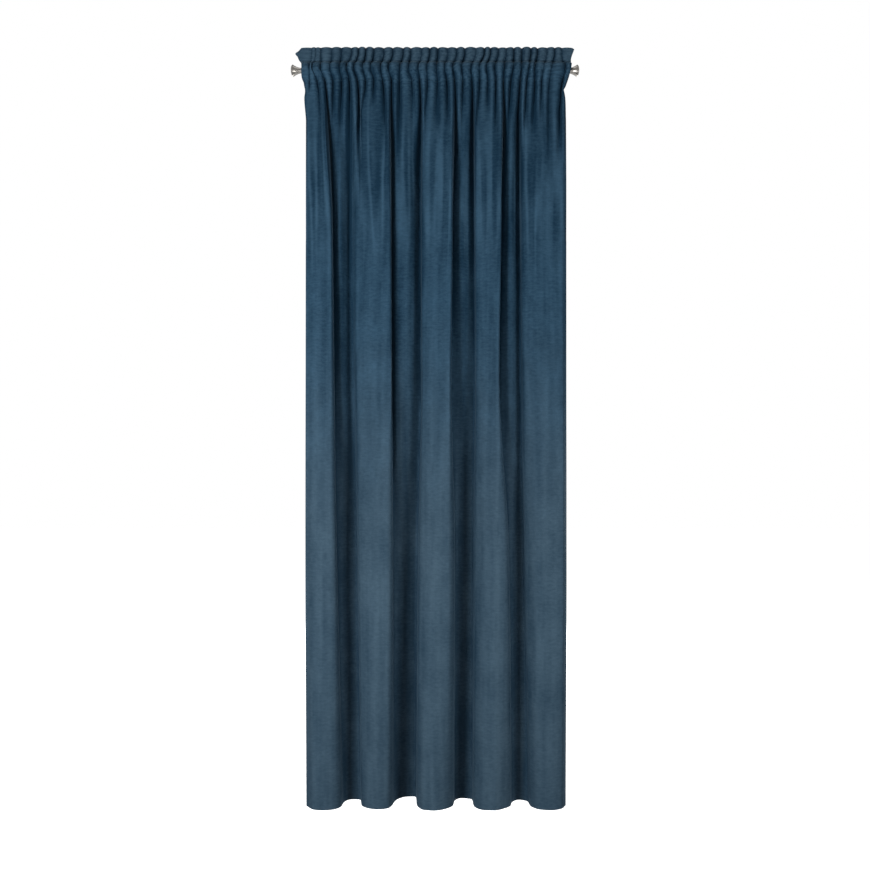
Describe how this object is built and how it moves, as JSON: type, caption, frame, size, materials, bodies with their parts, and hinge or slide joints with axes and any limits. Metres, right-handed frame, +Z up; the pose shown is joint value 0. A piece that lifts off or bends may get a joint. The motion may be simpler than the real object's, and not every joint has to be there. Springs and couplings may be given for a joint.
{
  "type": "gathered velvet curtain on a curtain rod",
  "caption": "Full-length velvet curtain panel, gathered on a thin round rod through a sewn pocket with a standing frill above, hanging in deep folds, with trumpet-shaped rod ends.",
  "frame": {"origin": "on the rod's axis, half way along it", "axes": "+X along the rod to the viewer's right, +Z up, the curtain's face looks along -Y"},
  "size_m": [1.029, 0.1096, 2.703],
  "materials": {
    "velvet": "dark petrol-blue short-pile velvet with a soft pale sheen along the folds",
    "rod_metal": "satin nickel plating on steel tube",
    "finial_metal": "satin nickel, turned"
  },
  "bodies": {
    "root": {"curtain": "velvet", "rod": "rod_metal", "finial_left": "finial_metal", "finial_right": "finial_metal"}
  },
  "joints": []
}
